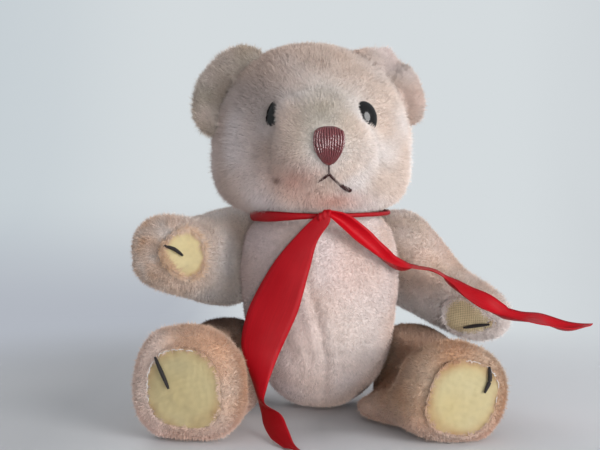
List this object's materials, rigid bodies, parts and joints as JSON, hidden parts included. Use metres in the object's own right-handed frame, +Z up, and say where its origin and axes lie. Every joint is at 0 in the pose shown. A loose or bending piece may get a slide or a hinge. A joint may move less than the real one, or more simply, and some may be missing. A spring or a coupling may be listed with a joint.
{
  "type": "jointed teddy bear",
  "caption": "Threadbare plush teddy bear sitting up, with disc-jointed head, arms and legs, woven paw and foot pads, stitched nose, mouth and claws, and a ribbon tied round its neck.",
  "frame": {"origin": "on the floor, in the middle of the flat seat, below the torso's axis", "axes": "+Z up, +X towards the bear's left, and the bear faces -Y"},
  "size_m": [0.2164, 0.1495, 0.1807],
  "materials": {
    "plush": "short worn plush pile, pinkish beige going to tan and orange brown on the limbs, matted, thin and soiled",
    "stuffing": "loose fibre stuffing, packed firm",
    "pad_weave": "coarse pale yellow plain weave, soiled and darker at the edges",
    "claw_thread": "thick black cotton thread in one long stitch",
    "mouth_thread": "dark brown thread in long stitches",
    "nose_thread": "glossy dark red-brown thread laid in upright satin stitch",
    "eye": "domed black eye, polished, with fine scratches",
    "fibreboard": "pressed brown fibreboard",
    "steel": "plain steel, slightly dulled",
    "ribbon": "red satin ribbon with woven edges, creased and twisted"
  },
  "bodies": {
    "torso": {"torso_cover": "plush", "torso_stuffing": "stuffing", "torso_discs": "fibreboard", "torso_washers": "steel", "joint_pins": "steel", "neck_ribbon": "ribbon"},
    "head": {"head_cover": "plush", "head_stuffing": "stuffing", "right_ear": "plush", "left_ear": "plush", "right_eye": "eye", "left_eye": "eye", "nose_stitches": "nose_thread", "mouth_stitches": "mouth_thread", "head_disc": "fibreboard", "head_washer": "steel"},
    "right_arm": {"right_arm_cover": "plush", "right_arm_stuffing": "stuffing", "right_paw_pad": "pad_weave", "right_paw_claw": "claw_thread", "right_arm_disc": "fibreboard", "right_arm_washer": "steel"},
    "left_arm": {"left_arm_cover": "plush", "left_arm_stuffing": "stuffing", "left_paw_pad": "pad_weave", "left_paw_claw": "claw_thread", "left_arm_disc": "fibreboard", "left_arm_washer": "steel"},
    "right_leg": {"right_leg_cover": "plush", "right_leg_stuffing": "stuffing", "right_foot_pad": "pad_weave", "right_foot_claw": "claw_thread", "right_leg_disc": "fibreboard", "right_leg_washer": "steel"},
    "left_leg": {"left_leg_cover": "plush", "left_leg_stuffing": "stuffing", "left_foot_pad": "pad_weave", "left_foot_claw": "claw_thread", "left_leg_disc": "fibreboard", "left_leg_washer": "steel"}
  },
  "joints": [
    {"name": "neck_turn", "type": "hinge", "parent": "torso", "child": "head", "pos_m": [0, 0, 0.097], "axis": [0, 0, 1], "continuous": true},
    {"name": "right_shoulder", "type": "hinge", "parent": "torso", "child": "right_arm", "pos_m": [-0.02774, 0.02167, 0.073], "axis": [-0.788, 0.6157, 0], "range_deg": [-18, 20]},
    {"name": "left_shoulder", "type": "hinge", "parent": "torso", "child": "left_arm", "pos_m": [0.02774, 0.02167, 0.073], "axis": [0.788, 0.6157, 0], "range_deg": [-60, 0], "deforming": ["neck_ribbon"]},
    {"name": "right_hip", "type": "hinge", "parent": "torso", "child": "right_leg", "pos_m": [-0.02974, 0.00687, 0.02601], "axis": [-0.9531, 0.22, -0.2079], "range_deg": [-90, 8]},
    {"name": "left_hip", "type": "hinge", "parent": "torso", "child": "left_leg", "pos_m": [0.02974, 0.00687, 0.02601], "axis": [0.9531, 0.22, -0.2079], "range_deg": [0, 90]}
  ]
}
